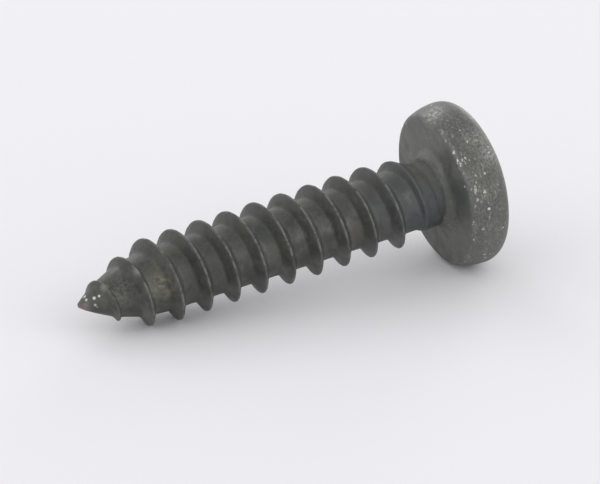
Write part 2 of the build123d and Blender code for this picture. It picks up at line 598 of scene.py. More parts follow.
@dataclass(frozen=True)
class HeadRows:
    """How the rows of points are shared out over the head.

    Attributes:
        collar_end: radii of the rows on the collar's end.
        quarter: rows on the collar's lip, and on its fillet.
        face: rows on the bearing face.
        face_gaps: what that face leaves free at the fillet, and at the bearing edge.
        edge: rows on the bearing edge.
        flare: rows on the flare of the rim.
        corner: rows on the corner between rim and dome.
        dome: rows on the dome.
        wall: rows on the recess's wall.
        floor: rows on its floor, as shares of the way in to the cone.
        cone: rows on the cone, as shares of its radius.
    """

    collar_end: tuple[float, ...] = (0.6, 1.2)
    quarter: int = 6
    face: int = 9
    face_gaps: tuple[float, float] = (0.07, 0.05)
    edge: int = 7
    flare: int = 25
    corner: int = 13
    dome: int = 11
    wall: int = 10
    floor: tuple[float, ...] = (0.15, 0.6, 1.0)
    cone: tuple[float, ...] = (0.7, 0.4, 0.15)


@dataclass
class PanHead:
    """The head as a profile carried around the axis, with its top sunk to the cross recess.

    Attributes:
        sizes: its sizes.
        limits: where its marks lie.
        rows: how its rows are shared out.
        columns: columns of points around the axis.
        mouth_guess: radius from which the recess's mouth is looked for.
        mouth_rounds: how often that radius is put right.
    """

    sizes: HeadSizes = field(default_factory=HeadSizes)
    limits: HeadMarks = field(default_factory=HeadMarks)
    rows: HeadRows = field(default_factory=HeadRows)
    columns: int = 480
    mouth_guess: float = 1.5
    mouth_rounds: int = 12

    def top(self) -> float:
        """Place of the top of the dome, as if it had no recess."""
        return self.sizes.length + self.sizes.head_height

    def rim_profile(self) -> np.ndarray:
        """Radius and place from the middle of the collar's end to the start of the dome.

        The flare is an arc that runs along the axis at the widest circle and leans inwards from
        there to the bearing edge, where a small arc rounds it into the bearing face. The corner is
        an arc between the widest circle and the dome.

        Returns:
            Rows of a radius and a place.
        """
        s, rows = self.sizes, self.rows
        base, widest = s.length, s.length + s.rim_height
        start = base - s.collar_length
        lip, fillet, edge = s.collar_lip, s.collar_fillet, s.bearing_edge_radius
        flare = arc_radius(s.head_radius - s.bearing_radius, s.rim_height)
        lean = np.arcsin(s.rim_height / flare)
        reach = edge / np.tan((np.pi / 2.0 + lean) / 2.0)
        face_start = s.collar_radius + fillet + rows.face_gaps[0]
        face_end = s.bearing_radius - reach - rows.face_gaps[1]
        flare_start = np.arcsin((s.rim_height - reach * np.cos(lean)) / flare)

        quarter = np.linspace(0.0, np.pi / 2.0, rows.quarter)
        around = np.linspace(0.0, np.pi / 2.0 - lean, rows.edge)
        along = np.linspace(flare_start, 0.0, rows.flare + 1)[1:]
        corner = np.linspace(0.0, self.corner_turn(), rows.corner + 1)[1:]
        collar_end = np.array(rows.collar_end)
        parts = [
            (collar_end, np.full_like(collar_end, start)),
            (
                s.collar_radius - lip * (1.0 - np.sin(quarter)),
                start + lip * (1.0 - np.cos(quarter)),
            ),
            (
                s.collar_radius + fillet * (1.0 - np.cos(quarter)),
                base - fillet * (1.0 - np.sin(quarter)),
            ),
            (np.linspace(face_start, face_end, rows.face), np.full(rows.face, base)),
            (
                s.bearing_radius - reach + edge * np.sin(around),
                base + edge * (1.0 - np.cos(around)),
            ),
            (s.head_radius - flare * (1.0 - np.cos(along)), widest - flare * np.sin(along)),
            (
                s.head_radius - s.corner_radius * (1.0 - np.cos(corner)),
                widest + s.corner_radius * np.sin(corner),
            ),
        ]
        return np.concatenate([np.stack(part, -1) for part in parts])

    def dome_radius(self) -> float:
        """Radius of the dome, a sphere that leaves the corner's arc along it.

        Returns:
            The square of the distance from the axis to the middle of the corner's arc, plus the
            square of the dome's rise, less the square of the corner's radius, all over twice
            the rise less that radius.
        """
        s = self.sizes
        inner = s.head_radius - s.corner_radius
        rise = s.head_height - s.rim_height
        return (inner**2 + rise**2 - s.corner_radius**2) / (2.0 * (rise - s.corner_radius))

    def corner_turn(self) -> float:
        """Angle in radians through which the corner's arc turns before the dome begins.

        Returns:
            A right angle less an arcsine: the distance from the axis to the middle of the arc,
            over the dome's radius less the corner's.
        """
        s = self.sizes
        inner = s.head_radius - s.corner_radius
        return float(np.pi / 2.0 - np.arcsin(inner / (self.dome_radius() - s.corner_radius)))

    def dome(self, radius: np.ndarray) -> np.ndarray:
        """Place of the dome's surface at a distance from the axis: a sphere's cap."""
        sphere = self.dome_radius()
        return self.top() - sphere + np.sqrt(sphere**2 - radius**2)

    def recess_outline(self, angle: np.ndarray, sunk: np.ndarray) -> np.ndarray:
        """Distance from the axis to the recess's wall.

        A wing is a strip with a square end: its wall lies at the lesser of the half span over the
        cosine and the half width over the sine of the angle from the wing. The wall is never
        nearer than the core. All three sizes shrink in a straight line as the recess sinks.

        Args:
            angle: angles around the axis, in radians.
            sunk: how far down the recess, from 0 at the top to 1 at the floor.

        Returns:
            The distance for each angle.
        """
        s = self.sizes
        span = s.recess_span + (s.recess_floor_span - s.recess_span) * sunk
        width = s.recess_width + (s.recess_floor_width - s.recess_width) * sunk
        core = s.recess_core + (s.recess_core_floor - s.recess_core) * sunk
        from_wing = np.abs((angle + np.pi / 4.0) % (np.pi / 2.0) - np.pi / 4.0)
        end = span / 2.0 / np.cos(from_wing)
        side = width / 2.0 / np.maximum(np.sin(from_wing), LEAST_SINE)
        wing = soft_min(end, side, s.recess_rounding)
        return soft_max(wing, core / 2.0, s.recess_rounding)

    def mouth(self, angle: np.ndarray) -> np.ndarray:
        """Finds where the recess's wall meets the dome.

        The wall is taken at the depth that the dome has there, over and over, until both agree.

        Args:
            angle: angles around the axis, in radians.

        Returns:
            Distance from the axis for each angle.
        """
        radius = np.full_like(angle, self.mouth_guess)
        for _ in range(self.mouth_rounds):
            sunk = (self.top() - self.dome(radius)) / self.sizes.recess_depth
            radius = self.recess_outline(angle, sunk)
        return radius

    def recess(self, angle: np.ndarray, mouth: np.ndarray) -> tuple[np.ndarray, np.ndarray]:
        """Walls, floor and middle cone of the recess, on rows from its mouth to the axis.

        Args:
            angle: angle of each column, in radians.
            mouth: distance from the axis at which the wall meets the dome.

        Returns:
            Radii and places, columns by rows.
        """
        s, rows = self.sizes, self.rows
        lip = (self.top() - self.dome(mouth) + s.recess_edge) / s.recess_depth
        sunk = lip[:, None] + (1.0 - lip[:, None]) * np.linspace(0.0, 1.0, rows.wall)[None, :]
        wall = self.recess_outline(angle[:, None], sunk)
        foot = wall[:, -1:]
        middle = s.recess_core_floor / 2.0 - s.recess_floor_inset
        floor = foot + (middle - foot) * np.array(rows.floor)
        inward = np.tile(rows.cone, (len(angle), 1))
        level = self.top() - s.recess_depth
        cone = level - s.recess_cone_depth * (1.0 - inward)
        radii = np.concatenate([wall, floor, middle * inward], 1)
        wall_place = self.top() - s.recess_depth * sunk
        return radii, np.concatenate([wall_place, np.full_like(floor, level), cone], 1)

    def marks(self, radius: np.ndarray, place: np.ndarray) -> dict[str, np.ndarray]:
        """Weights for the finish, each a product of fades and bands.

        Args:
            radius: distance of each point from the axis.
            place: its place along the axis.

        Returns:
            The rubbed lines, the whole rim, and the inside of the recess.
        """
        limits = self.limits
        above = place - self.sizes.length
        outside = fade(radius - self.sizes.bearing_radius, limits.outside)
        lines = np.maximum(band(above, *limits.seam), band(above, *limits.bearing_edge))
        depth = self.dome(np.minimum(radius, limits.dome_reach)) - place
        # painted shade inside the recess
        groove = fade(depth, limits.sunk) * fade(radius, limits.sunk_radius)
        return {
            "worn": outside * lines,
            "rim": outside * fade(above, limits.rim),
            "groove": groove * fade(above, limits.sunk_place),
        }

    def surface(self) -> TurnedSurface:
        """Rim rows, dome rows down to the recess's mouth, then its walls, floor and middle.

        Returns:
            The skin of the head.
        """
        s = self.sizes
        angle = np.linspace(0.0, 2.0 * np.pi, self.columns, endpoint=False)
        profile = self.rim_profile()
        rim = np.tile(profile[:, 0], (self.columns, 1))
        mouth = self.mouth(angle)
        share = np.linspace(0.0, 1.0, self.rows.dome + 1)[1:]
        dome_start = profile[-1, 0]
        dome = dome_start + (mouth[:, None] + s.recess_edge - dome_start) * share[None, :]
        recess, recess_place = self.recess(angle, mouth)
        rim_place = np.broadcast_to(profile[:, 1], rim.shape)

        radius = np.concatenate([rim, dome, recess], 1)
        place = np.concatenate([rim_place, self.dome(dome), recess_place], 1)
        turned = np.broadcast_to(angle[:, None], radius.shape)
        return TurnedSurface(
            points=around_axis(radius, turned, place),
            marks=self.marks(radius, place),
            start_pole=(0.0, 0.0, s.length - s.collar_length),
            end_pole=(0.0, 0.0, self.top() - s.recess_depth - s.recess_cone_depth),
        )


# Finishes


class Mixing(Enum):
    """How one colour is laid over another."""

    OVER = "MIX"
    MULTIPLY = "MULTIPLY"


@dataclass(frozen=True)
class Clouds:
    """Cloudy noise, and the weight that is read from it.

    Attributes:
        scale: features in a metre.
        limits: values of the noise between which the weight goes smoothly over.
        weights: the weight at the first of those limits and at the second.
        detail: octaves of the noise.
        roughness: how much each finer octave counts.
        drawn: how many times longer a feature is around the screw's axis than along it.
    """

    scale: float
    limits: Limits
    weights: Limits = (0.0, 1.0)
    detail: float = 3.0
    roughness: float = 0.55
    drawn: float = 1.0


@dataclass
class NodeGraph:
    """Short calls that add shader nodes to the node tree of a material or of the world."""

    tree: bpy.types.NodeTree

    def add(self, kind: str, **settings: object) -> bpy.types.Node:
        """Adds a node.

        Args:
            kind: the node's type.
            settings: values for its properties, by name.

        Returns:
            The node.
        """
        node = self.tree.nodes.new(kind)
        for name, value in settings.items():
            setattr(node, name, value)
        return node

    def link(self, source: Socket, target: Socket) -> None:
        """Joins an output to an input."""
        self.tree.links.new(source, target)

    def feed(self, target: Socket, value: object) -> None:
        """Links an output to an input, or writes a plain value on it.

        Args:
            target: the input.
            value: an output, a colour or a number.
        """
        if isinstance(value, Socket):
            self.link(value, target)
        elif target.type == "RGBA":
            target.default_value = (*value, 1.0)
        else:
            target.default_value = value

    def object_place(self) -> Socket:
        """The place on the piece, in the frame's metres."""
        return self.add("ShaderNodeTexCoord").outputs["Object"]

    def drawn_round(self, ratio: float) -> Socket:
        """The place with its measure along the screw's axis grown, for strokes around the axis.

        Args:
            ratio: how much it is grown.

        Returns:
            The place, turned into the screw's axes.
        """
        node = self.add("ShaderNodeMapping", vector_type="TEXTURE")
        self.link(self.object_place(), node.inputs["Vector"])
        node.inputs["Rotation"].default_value = (0.0, -np.radians(Resting.tilt), 0.0)
        node.inputs["Scale"].default_value = (1.0 / ratio, 1.0, 1.0)
        return node.outputs["Vector"]

    def noise(self, clouds: Clouds) -> Socket:
        """Cloudy noise as it is, without the limits.

        Args:
            clouds: its settings.

        Returns:
            The noise, about 0.5 in the mean.
        """
        plain = clouds.drawn == 1.0
        node = self.add("ShaderNodeTexNoise")
        place = self.object_place() if plain else self.drawn_round(clouds.drawn)
        self.link(place, node.inputs["Vector"])
        node.inputs["Scale"].default_value = clouds.scale
        node.inputs["Detail"].default_value = clouds.detail
        node.inputs["Roughness"].default_value = clouds.roughness
        return node.outputs["Fac"]

    def clouds(self, clouds: Clouds) -> Socket:
        """Cloudy noise, carried to its weights."""
        return self.between(self.noise(clouds), clouds.limits, clouds.weights)

    def cells(self, scale: float) -> tuple[Socket, Socket]:
        """Scattered grains.

        Args:
            scale: grains along a metre.

        Returns:
            The distance to the nearest grain, in grains, and its own random colour.
        """
        node = self.add("ShaderNodeTexVoronoi")
        self.link(self.object_place(), node.inputs["Vector"])
        node.inputs["Scale"].default_value = scale
        return node.outputs["Distance"], node.outputs["Color"]

    def between(self, value: Socket, limits: Limits, weights: Limits = (0.0, 1.0)) -> Socket:
        """Carries a value smoothly from one weight to another.

        Args:
            value: the value.
            limits: where the change begins and ends.
            weights: the weight before it and after it.

        Returns:
            The weight.
        """
        node = self.add("ShaderNodeMapRange", interpolation_type="SMOOTHSTEP")
        self.link(value, node.inputs["Value"])
        node.inputs["From Min"].default_value, node.inputs["From Max"].default_value = limits
        node.inputs["To Min"].default_value, node.inputs["To Max"].default_value = weights
        return node.outputs["Result"]

    def math(self, operation: str, first: object, second: object) -> Socket:
        """One sum on two numbers.

        Args:
            operation: its name.
            first: an output or a number.
            second: an output or a number.

        Returns:
            The result.
        """
        node = self.add("ShaderNodeMath", operation=operation)
        self.feed(node.inputs[0], first)
        self.feed(node.inputs[1], second)
        return node.outputs[0]

    def times(self, *values: object) -> Socket:
        """Multiplies numbers.

        Args:
            values: outputs or numbers.

        Returns:
            Their product.
        """
        result = values[0]
        for value in values[1:]:
            result = self.math("MULTIPLY", result, value)
        return result

    def mark(self, name: str) -> Socket:
        """A weight that the mesh carries."""
        return self.add("ShaderNodeAttribute", attribute_name=name).outputs["Fac"]

    def near(self, centre: Place, reach: float) -> Socket:
        """A weight that falls smoothly from 1 at a centre to 0 at its reach.

        Args:
            centre: the place, in the frame but in millimetres.
            reach: the distance.

        Returns:
            The weight.
        """
        node = self.add("ShaderNodeVectorMath", operation="DISTANCE")
        self.link(self.object_place(), node.inputs[0])
        node.inputs[1].default_value = tuple(MILLIMETRE * number for number in centre)
        return self.between(node.outputs["Value"], (0.0, MILLIMETRE * reach), (1.0, 0.0))

    def mix(
        self, weight: object, under: object, over: object, mixing: Mixing = Mixing.OVER
    ) -> Socket:
        """Lays one colour over another.

        Args:
            weight: how much of it, an output or a number.
            under: the lower colour.
            over: the upper colour.
            mixing: how they are put together.

        Returns:
            The colour that shows.
        """
        node = self.add("ShaderNodeMix", data_type="RGBA", blend_type=mixing.value)
        self.feed(node.inputs[0], weight)
        self.feed(node.inputs[6], under)
        self.feed(node.inputs[7], over)
        return node.outputs[2]

    def shaded(self, colour: Socket, shade: Socket) -> Socket:
        """Multiplies a colour by a number.

        Args:
            colour: the colour.
            shade: the number.

        Returns:
            The product.
        """
        grey = self.add("ShaderNodeCombineColor")
        for socket in grey.inputs:
            self.link(shade, socket)
        return self.mix(1.0, colour, grey.outputs[0], Mixing.MULTIPLY)


@dataclass(frozen=True)
class Patch:
    """A stain, a rubbed place, a pool of painted light or a patch of painted shade on the steel.

    Attributes:
        centre: its middle, in the frame but in millimetres.
        reach: how far it spreads.
        colour: its colour.
        strength: how much of that colour its middle has.
        grain: features in a metre of the clouds that break it up.
        whole: how much of it is left between those clouds.
        speck: largest reach at which it isn't broken up.
    """

    centre: Place
    reach: float
    colour: Colour
    strength: float
    grain: float = 3600.0
    whole: float = 0.15
    speck: float = 0.3

    def clouds(self) -> Clouds:
        """The clouds that break it up."""
        return Clouds(self.grain, (0.42, 0.60), (self.whole, 1.0), roughness=0.65)


@dataclass(frozen=True)
class PhosphatedSteel:
    """Dark grey phosphate coat: crystalline, mottled, and rubbed pale where things touch it.

    Attributes:
        name: the material's name.
        patches: its stains, rubbed places, painted light and painted shade.
        brightness: what the colours of the coat are multiplied by.
        flecks: how much of their own colour the bare specks have.
        speck_mark: the mesh's mark that adds to the specks.
        speck_shares: how much that mark adds, and how much there is everywhere.
        dark: the darker tone of the coat.
        light: its lighter tone.
        tone_clouds: where the lighter tone lies.
        olive: its warmer hue.
        olive_clouds: where that hue lies.
        olive_share: how much of it shows there.
        blue: its cooler hue.
        blue_clouds: where that hue lies.
        blue_share: how much of it shows there.
        rubbed: colour of a rubbed edge.
        fleck: colour of a bare speck.
        grain: the fine grain, which shades the colour and the roughness.
        grain_contrast: how much the grain darkens and lightens the colour.
        metallic: how much of the light is thrown back as a metal does.
        roughness: the roughness at the grain's first limit and at its second.
        specks: places along a metre where a bare speck may be.
        speck_size: distances from such a place at which its speck ends and at which it is whole.
        speck_chance: random values between which a place goes from bare of a speck to having it.
        speck_clouds: where specks gather.
        crystals: crystals along a metre, which roughen the surface.
        crystal_height: their height against that of the grain.
        relief: strength of that relief, and its height in millimetres.
    """

    name: str
    patches: tuple[Patch, ...]
    brightness: float
    flecks: float
    speck_mark: str
    speck_shares: tuple[float, float]
    dark: Colour = (0.070, 0.073, 0.067)
    light: Colour = (0.108, 0.111, 0.101)
    tone_clouds: Clouds = Clouds(1250.0, (0.40, 0.60), detail=5.0, roughness=0.62)
    olive: Colour = (0.100, 0.094, 0.073)
    olive_clouds: Clouds = Clouds(610.0, (0.48, 0.66))
    olive_share: float = 0.55
    blue: Colour = (0.078, 0.084, 0.081)
    blue_clouds: Clouds = Clouds(470.0, (0.46, 0.64))
    blue_share: float = 0.6
    rubbed: Colour = (0.23, 0.23, 0.21)
    fleck: Colour = (0.78, 0.78, 0.74)
    grain: Clouds = Clouds(9000.0, (0.3, 0.7), detail=4.0, roughness=0.7)
    grain_contrast: float = 0.18
    metallic: float = 0.3
    roughness: Limits = (0.42, 0.64)
    specks: float = 4200.0
    speck_size: Limits = (0.30, 0.16)
    speck_chance: Limits = (0.55, 0.62)
    speck_clouds: Clouds = Clouds(600.0, (0.45, 0.62), detail=2.0)
    crystals: float = 11000.0
    crystal_height: float = 0.6
    relief: tuple[float, float] = (0.6, 0.010)

    def coat(self, graph: NodeGraph, grain: Socket) -> Socket:
        """The mottled coat: cloudy tone, two drifting hues and the fine grain.

        Args:
            graph: the material's nodes.
            grain: the noise of the grain.

        Returns:
            The coat's colour.
        """
        colour = graph.mix(graph.clouds(self.tone_clouds), self.dark, self.light)
        warm = graph.times(graph.clouds(self.olive_clouds), self.olive_share)
        colour = graph.mix(warm, colour, self.olive)
        cool = graph.times(graph.clouds(self.blue_clouds), self.blue_share)
        colour = graph.mix(cool, colour, self.blue)
        low = (1.0 - self.grain_contrast) * self.brightness
        high = (1.0 + self.grain_contrast) * self.brightness
        return graph.shaded(colour, graph.between(grain, self.grain.limits, (low, high)))

    def patched(self, graph: NodeGraph, colour: Socket) -> Socket:
        """Lays the stains, rubbed places and painted light and shade over a colour, the larger
        ones broken up.

        Args:
            graph: the material's nodes.
            colour: the colour so far.

        Returns:
            The colour with them.
        """
        for patch in self.patches:
            weight = graph.near(patch.centre, patch.reach)
            if patch.reach > patch.speck:
                weight = graph.times(weight, graph.clouds(patch.clouds()))
            colour = graph.mix(graph.times(weight, patch.strength), colour, patch.colour)
        return colour

    def wear_and_painted_light(self, graph: NodeGraph, colour: Socket, grain: Socket) -> Socket:
        """The coat with its patches; a piece with wear or painted light and shade of its own adds
        it here.
        """
        return self.patched(graph, colour)

    def specked(self, graph: NodeGraph, colour: Socket) -> Socket:
        """Scatters bare specks, more of them where the mesh's mark is.

        Args:
            graph: the material's nodes.
            colour: the colour so far.

        Returns:
            The colour with them.
        """
        distance, random = graph.cells(self.specks)
        specks = graph.times(
            graph.between(distance, self.speck_size),
            graph.between(random, self.speck_chance),
            graph.clouds(self.speck_clouds),
        )
        more, everywhere = self.speck_shares
        places = graph.math("ADD", graph.times(graph.mark(self.speck_mark), more), everywhere)
        return graph.mix(graph.times(specks, places, self.flecks), colour, self.fleck)

    def roughened(self, graph: NodeGraph, grain: Socket) -> Socket:
        """The relief of the grain and of the crystals.

        Args:
            graph: the material's nodes.
            grain: the noise of the grain.

        Returns:
            The surface's direction with that relief.
        """
        crystals, _ = graph.cells(self.crystals)
        height = graph.math("ADD", grain, graph.times(crystals, self.crystal_height))
        bump = graph.add("ShaderNodeBump")
        graph.link(height, bump.inputs["Height"])
        strength, distance = self.relief
        bump.inputs["Strength"].default_value = strength
        bump.inputs["Distance"].default_value = distance * MILLIMETRE
        return bump.outputs["Normal"]

    def material(self) -> bpy.types.Material:
        """Builds the node material.

        Returns:
            A Principled material whose colour, roughness and bump come from the coat's layers.
        """
        material = bpy.data.materials.new(self.name)
        material.use_nodes = True
        graph = NodeGraph(material.node_tree)
        shader = material.node_tree.nodes["Principled BSDF"]
        grain = graph.noise(self.grain)
        colour = self.wear_and_painted_light(graph, self.coat(graph, grain), grain)
        rough = graph.between(grain, self.grain.limits, self.roughness)
        graph.link(self.specked(graph, colour), shader.inputs["Base Color"])
        graph.link(rough, shader.inputs["Roughness"])
        graph.link(self.roughened(graph, grain), shader.inputs["Normal"])
        shader.inputs["Metallic"].default_value = self.metallic
        return material


@dataclass(frozen=True)
class ShankSteel(PhosphatedSteel):
    """The thread's coat, rubbed along the crests, with painted shade and light on its flanks.

    Attributes:
        painted_flank_shade_clouds: how much painted shade darkens the flanks that face the point.
        painted_lobe_lift: how much painted light from below lightens those flanks in the lower
            half of the thread.
        painted_groove_lift: how much painted light lightens the groove behind a crest.
        scuffs: what breaks up the rubbed line along the crests.
        rubbed_share: how much of the rubbed colour that line has.
    """

    brightness: float = 0.85
    flecks: float = 0.12
    speck_mark: str = "worn"
    speck_shares: tuple[float, float] = (0.6, 0.15)
    # painted shade on the flanks that face the point, painted light on their lower half and behind
    # the crests
    painted_flank_shade_clouds: Clouds = Clouds(1300.0, (0.3, 0.7), (0.04, 0.30))
    painted_lobe_lift: float = 0.45
    painted_groove_lift: float = 0.32
    scuffs: Clouds = Clouds(2600.0, (0.40, 0.58), detail=4.0, roughness=0.7)
    rubbed_share: float = 0.5

    def wear_and_painted_light(self, graph: NodeGraph, colour: Socket, grain: Socket) -> Socket:
        """Lays painted shade and light on the flanks and grooves, and rubs the crests.

        Args:
            graph: the material's nodes.
            colour: the coat.
            grain: the noise of the grain, which the thread has no use for.

        Returns:
            The coat with its patches, its painted shade and light, and its wear.
        """
        # painted shade on the flanks that face the point
        darker = graph.times(graph.mark("painted_flank_shading"), graph.clouds(self.painted_flank_shade_clouds))
        shade = graph.math("SUBTRACT", 1.0, darker)
        # painted light from below on the lower half of those flanks
        shade = graph.math("ADD", shade, graph.times(graph.mark("painted_lobe_light"), self.painted_lobe_lift))
        # painted light in the groove behind each crest
        shade = graph.math("ADD", shade, graph.times(graph.mark("painted_groove_light"), self.painted_groove_lift))
        colour = graph.shaded(self.patched(graph, colour), shade)
        line = graph.times(graph.mark("worn"), graph.clouds(self.scuffs), self.rubbed_share)
        return graph.mix(line, colour, self.rubbed)


@dataclass(frozen=True)
class HeadSteel(PhosphatedSteel):
    """The coat of the head: a greyer, coarser rim with short pale strokes that run around it.

    Attributes:
        rim_colour: the rim's grey.
        rim_clouds: where that grey lies.
        rim_share: how much of it shows there.
        rim_grain: values of the grain between which the rim goes from darker to lighter.
        rim_contrast: how much darker and lighter.
        strokes: the short pale strokes.
        stroke_places: where strokes gather.
        knocked: middle and reach of the place with the most strokes.
        knocks: how much that place adds, and how much there is everywhere.
        dashes: what breaks up the rubbed lines along the bearing edge and the seam.
        line_share: how much of the rubbed colour those lines have.
        painted_recess_shade: the painted shade inside the recess.
        painted_recess_shade_share: how much of it shows.
    """

    brightness: float = 1.34
    flecks: float = 0.78
    speck_mark: str = "rim"
    speck_shares: tuple[float, float] = (0.75, 0.15)
    rim_colour: Colour = (0.116, 0.117, 0.104)
    rim_clouds: Clouds = Clouds(700.0, (0.3, 0.65), (0.45, 1.0), detail=4.0, roughness=0.6)
    rim_share: float = 0.75
    rim_grain: Limits = (0.38, 0.62)
    rim_contrast: float = 0.19
    strokes: Clouds = Clouds(4200.0, (0.55, 0.65), detail=4.0, roughness=0.7, drawn=2.4)
    stroke_places: Clouds = Clouds(700.0, (0.42, 0.60), (0.05, 0.9), detail=2.0)
    knocked: tuple[Place, float] = ((7.9, -3.0, 5.4), 2.6)
    knocks: tuple[float, float] = (0.6, 0.2)
    dashes: Clouds = Clouds(1500.0, (0.44, 0.60), roughness=0.6, drawn=3.0)
    line_share: float = 0.4
    # painted shade inside the recess
    painted_recess_shade: Colour = (0.030, 0.031, 0.030)
    painted_recess_shade_share: float = 0.5

    def rim_coat(self, graph: NodeGraph, colour: Socket, grain: Socket) -> Socket:
        """Makes the rim greyer and coarser.

        Args:
            graph: the material's nodes.
            colour: the coat.
            grain: the noise of the grain.

        Returns:
            The coat with its rim.
        """
        rim, clouds = graph.mark("rim"), graph.clouds(self.rim_clouds)
        colour = graph.mix(graph.times(rim, clouds, self.rim_share), colour, self.rim_colour)
        contrast = (-self.rim_contrast, self.rim_contrast)
        coarse = graph.times(graph.between(grain, self.rim_grain, contrast), rim)
        return graph.shaded(colour, graph.math("ADD", 1.0, coarse))

    def rim_wear(self, graph: NodeGraph, colour: Socket) -> Socket:
        """Rubs the lines along the rim, and lays its pale strokes.

        Args:
            graph: the material's nodes.
            colour: the colour so far.

        Returns:
            The colour with them.
        """
        more, everywhere = self.knocks
        knocked = graph.math("ADD", graph.times(graph.near(*self.knocked), more), everywhere)
        scattered = graph.times(graph.clouds(self.stroke_places), knocked, graph.mark("rim"))
        lines = graph.times(graph.mark("worn"), graph.clouds(self.dashes))
        colour = graph.mix(graph.times(lines, self.line_share), colour, self.rubbed)
        places = graph.math("MAXIMUM", scattered, lines)
        return graph.mix(graph.times(graph.clouds(self.strokes), places), colour, self.fleck)

    def wear_and_painted_light(self, graph: NodeGraph, colour: Socket, grain: Socket) -> Socket:
        """Dresses the rim, lays the patches and paints shade inside the recess.

        Args:
            graph: the material's nodes.
            colour: the coat.
            grain: the noise of the grain.

        Returns:
            The coat with its patches, its wear and its painted light and shade.
        """
        colour = self.rim_wear(graph, self.rim_coat(graph, colour, grain))
        # painted shade inside the recess
        inside = graph.times(graph.mark("groove"), self.painted_recess_shade_share)
        return graph.mix(inside, self.patched(graph, colour), self.painted_recess_shade)


PALE = (0.78, 0.78, 0.75)
SCUFFED = (0.60, 0.60, 0.56)
PALE_OLIVE = (0.19, 0.19, 0.155)
BROWN = (0.105, 0.092, 0.085)
SHANK_STEEL = ShankSteel(
    name="phosphated_steel_shank",
    patches=(
        # Olive stain in the second groove, and a dark one with pale grains over the first turns
        Patch((-7.0, -1.4, 2.3), 1.1, (0.20, 0.195, 0.13), 0.85),
        Patch((-8.9, -0.9, 2.1), 1.7, (0.030, 0.032, 0.025), 0.9, 1900.0, 0.4),
        Patch((-8.4, -1.0, 2.35), 0.7, (0.032, 0.035, 0.030), 0.85, 2600.0, 0.6),
        Patch((-8.9, -0.9, 2.3), 1.3, (0.150, 0.150, 0.130), 0.5, 7000.0, 0.0),
        # Rubbed places on the first two crests
        Patch((-8.6, 0.0, 2.9), 0.6, (0.19, 0.19, 0.18), 0.6),
        Patch((-9.46, -0.5, 2.38), 0.30, (0.34, 0.34, 0.31), 0.5),
        Patch((-8.10, -1.05, 3.10), 0.35, (0.32, 0.32, 0.29), 0.6, 6400.0, 0.5),
        # Reddish stain and bare specks at the point
        Patch((-10.4, -0.2, 1.5), 0.55, (0.26, 0.20, 0.19), 0.85, whole=0.4),
        Patch((-10.2, 0.0, 1.9), 0.12, PALE, 0.9),
        Patch((-10.2, -0.2, 1.8), 0.10, PALE, 0.8),
        Patch((-9.9, -0.4, 1.9), 0.11, PALE, 1.0),
        Patch((-9.7, -0.5, 2.0), 0.09, PALE, 0.9),
        Patch((-9.9, -0.5, 1.6), 0.10, PALE, 0.6),
        Patch((-9.8, -0.5, 1.5), 0.08, PALE, 0.5),
        # Cooler grey towards the neck, and darker grooves behind the point
        Patch((6.5, -1.0, 4.2), 3.4, (0.096, 0.103, 0.107), 0.9, whole=0.8),
        Patch((-4.9, -1.3, 2.6), 2.2, (0.050, 0.052, 0.045), 0.6, 2200.0, 0.3),
        # Paler and browner places along the thread
        Patch((-2.0, -1.5, 3.1), 0.5, PALE_OLIVE, 0.5),
        Patch((0.0, -1.4, 3.4), 0.5, PALE_OLIVE, 0.4),
        Patch((1.4, -1.4, 3.5), 0.5, PALE_OLIVE, 0.5),
        Patch((2.5, -1.4, 3.5), 0.4, PALE_OLIVE, 0.45),
        Patch((4.1, -0.3, 4.9), 0.9, BROWN, 0.5),
        Patch((5.5, -1.3, 4.2), 0.5, PALE_OLIVE, 0.4),
        # The run-out, darker underneath and paler on top, and the paler neck
        Patch((6.1, -1.5, 3.4), 0.8, (0.045, 0.056, 0.072), 0.7),
        Patch((7.1, -0.9, 4.4), 1.6, (0.150, 0.154, 0.154), 0.85, 1700.0, 0.6),
        Patch((6.6, -0.7, 5.0), 1.1, (0.175, 0.170, 0.155), 0.8, 1900.0, 0.4),
    ),
)
HEAD_STEEL = HeadSteel(
    name="phosphated_steel_head",
    patches=(
        # Scuffs along the corner between rim and dome
        Patch((7.6, 0.2, 7.4), 0.9, SCUFFED, 0.53, 7400.0, 0.05),
        Patch((8.5, -2.2, 6.9), 0.9, SCUFFED, 0.36, 8200.0, 0.05),
        Patch((8.9, -2.9, 6.3), 0.9, SCUFFED, 0.32, 8800.0, 0.1),
        # Painted light from below on the lower bearing face and rim, and painted shade on the
        # bearing face beside the neck
        Patch((7.9, -2.2, 1.2), 2.6, (0.172, 0.176, 0.172), 0.45, whole=0.8),
        Patch((7.5, -2.5, 4.2), 1.5, (0.070, 0.078, 0.076), 0.8, whole=0.85),
        # Bare specks
        Patch((8.0, -1.7, 7.2), 0.10, PALE, 0.9),
        Patch((7.5, -3.1, 5.0), 0.09, PALE, 0.9),
        Patch((8.4, -3.8, 4.0), 0.10, PALE, 1.0),
        Patch((8.2, -3.6, 3.0), 0.10, PALE, 0.9),
        Patch((7.9, -3.3, 2.4), 0.08, PALE, 0.7),
        Patch((9.2, -3.7, 2.9), 0.07, PALE, 0.6),
    ),
)


# The room, with its lengths in metres


def heading(azimuth: float, elevation: float) -> Vector:
    """Direction away from the screw.

    Args:
        azimuth: turn from straight in front of it, towards the head.
        elevation: rise above the floor.

    Returns:
        A vector of length 1, from the sines and cosines of the two angles.
    """
    turn, rise = np.radians(azimuth), np.radians(elevation)
    return Vector((np.sin(turn) * np.cos(rise), -np.cos(turn) * np.cos(rise), np.sin(rise)))


